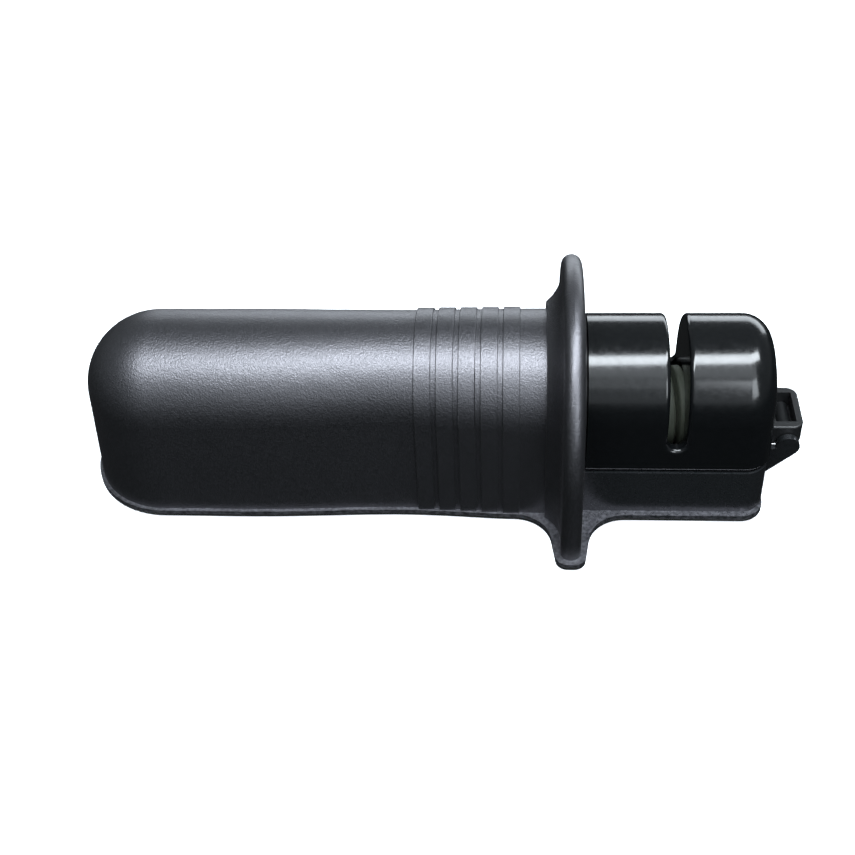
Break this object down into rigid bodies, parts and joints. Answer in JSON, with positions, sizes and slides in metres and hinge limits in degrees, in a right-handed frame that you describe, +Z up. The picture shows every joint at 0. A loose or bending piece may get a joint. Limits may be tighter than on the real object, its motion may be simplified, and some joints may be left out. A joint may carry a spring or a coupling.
{
  "type": "pull-through knife sharpener",
  "caption": "Hand-held pull-through knife sharpener with an arched grip, hand guard, slotted hinged head cover and V-grooved sharpening wheels.",
  "frame": {"origin": "centre of the bounding box in plan, on the surface that the feet stand on", "axes": "+X from the handle's butt to the nose, +Y to the far side, +Z up"},
  "size_m": [0.1842, 0.0764, 0.0597],
  "materials": {
    "housing": "spark-eroded texture, black",
    "cover": "high gloss black",
    "base": "satin black",
    "rubber": "matt",
    "ceramic": "fired abrasive ceramic, olive grey",
    "hub": "natural acetal",
    "steel": "pressed steel",
    "pin_steel": "blackened steel"
  },
  "bodies": {
    "grip": {"housing": "housing", "base_plate": "base", "hinge_pin": "pin_steel", "wheel_cradle": "steel", "axle": "steel", "spacer_left": "hub", "spacer_right": "hub", "circlip_left": "pin_steel", "circlip_right": "pin_steel", "foot_1": "rubber", "foot_2": "rubber", "foot_3": "rubber", "foot_4": "rubber", "base_screw_1": "steel", "base_screw_2": "steel", "base_screw_3": "steel", "base_screw_4": "steel", "base_screw_5": "steel", "base_screw_6": "steel", "cradle_screw_1": "steel", "cradle_screw_2": "steel", "cradle_screw_3": "steel", "cradle_screw_4": "steel"},
    "wheels": {"wheel_left": "ceramic", "wheel_right": "ceramic", "wheel_hub": "hub"},
    "cover": {"head_cover": "cover", "hinge_link": "base", "peg_washer_1": "steel", "peg_washer_2": "steel"}
  },
  "joints": [
    {"name": "cover_hinge", "type": "hinge", "parent": "grip", "child": "cover", "pos_m": [0.0883, 0, 0.0157], "axis": [0, 1, 0], "range_deg": [0, 110]},
    {"name": "wheel_spin", "type": "hinge", "parent": "grip", "child": "wheels", "pos_m": [0.0594, 0, 0.0205], "axis": [0.9945, 0.1045, 0], "continuous": true}
  ]
}
